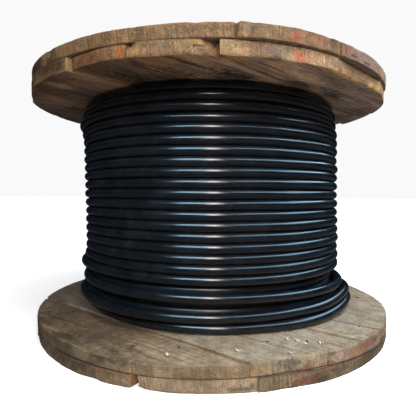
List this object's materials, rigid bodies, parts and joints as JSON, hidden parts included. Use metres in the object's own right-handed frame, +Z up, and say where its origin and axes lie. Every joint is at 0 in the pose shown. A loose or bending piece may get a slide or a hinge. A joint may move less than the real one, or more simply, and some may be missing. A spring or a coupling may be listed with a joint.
{
  "type": "wooden cable drum, wound with cable",
  "caption": "Weathered timber cable drum standing on end: round flanges of crossed boards on a stave barrel, wound with glossy black cable.",
  "frame": {"origin": "centre of the underside of the lower flange, on the spindle axis", "axes": "+Z up along the spindle axis, +X along the inner boards of the upper flange, +Y along its outer boards"},
  "size_m": [1, 0.9999, 0.687],
  "materials": {
    "flange_timber": "rough sawn, weathered",
    "stave_timber": "rough sawn",
    "rod_steel": "dull zinc, lightly rusted",
    "cable_sheath": "glossy"
  },
  "bodies": {
    "root": {"upper_outer_board_1": "flange_timber", "upper_outer_board_2": "flange_timber", "upper_outer_board_3": "flange_timber", "upper_outer_board_4": "flange_timber", "upper_outer_board_5": "flange_timber", "upper_inner_board_1": "flange_timber", "upper_inner_board_2": "flange_timber", "upper_inner_board_3": "flange_timber", "upper_inner_board_4": "flange_timber", "upper_inner_board_5": "flange_timber", "upper_inner_board_6": "flange_timber", "upper_inner_board_7": "flange_timber", "lower_inner_board_1": "flange_timber", "lower_inner_board_2": "flange_timber", "lower_inner_board_3": "flange_timber", "lower_inner_board_4": "flange_timber", "lower_inner_board_5": "flange_timber", "lower_inner_board_6": "flange_timber", "lower_outer_board_1": "flange_timber", "lower_outer_board_2": "flange_timber", "lower_outer_board_3": "flange_timber", "lower_outer_board_4": "flange_timber", "lower_outer_board_5": "flange_timber", "lower_outer_board_6": "flange_timber", "barrel_stave_1": "stave_timber", "barrel_stave_2": "stave_timber", "barrel_stave_3": "stave_timber", "barrel_stave_4": "stave_timber", "barrel_stave_5": "stave_timber", "barrel_stave_6": "stave_timber", "barrel_stave_7": "stave_timber", "barrel_stave_8": "stave_timber", "barrel_stave_9": "stave_timber", "barrel_stave_10": "stave_timber", "barrel_stave_11": "stave_timber", "barrel_stave_12": "stave_timber", "barrel_stave_13": "stave_timber", "barrel_stave_14": "stave_timber", "barrel_stave_15": "stave_timber", "barrel_stave_16": "stave_timber", "barrel_stave_17": "stave_timber", "barrel_stave_18": "stave_timber", "tie_rod_1": "rod_steel", "tie_rod_2": "rod_steel", "tie_rod_3": "rod_steel", "tie_rod_4": "rod_steel", "rod_washers_upper": "rod_steel", "rod_washers_lower": "rod_steel", "rod_nuts_upper": "rod_steel", "rod_nuts_lower": "rod_steel", "cable_winding": "cable_sheath"}
  },
  "joints": []
}
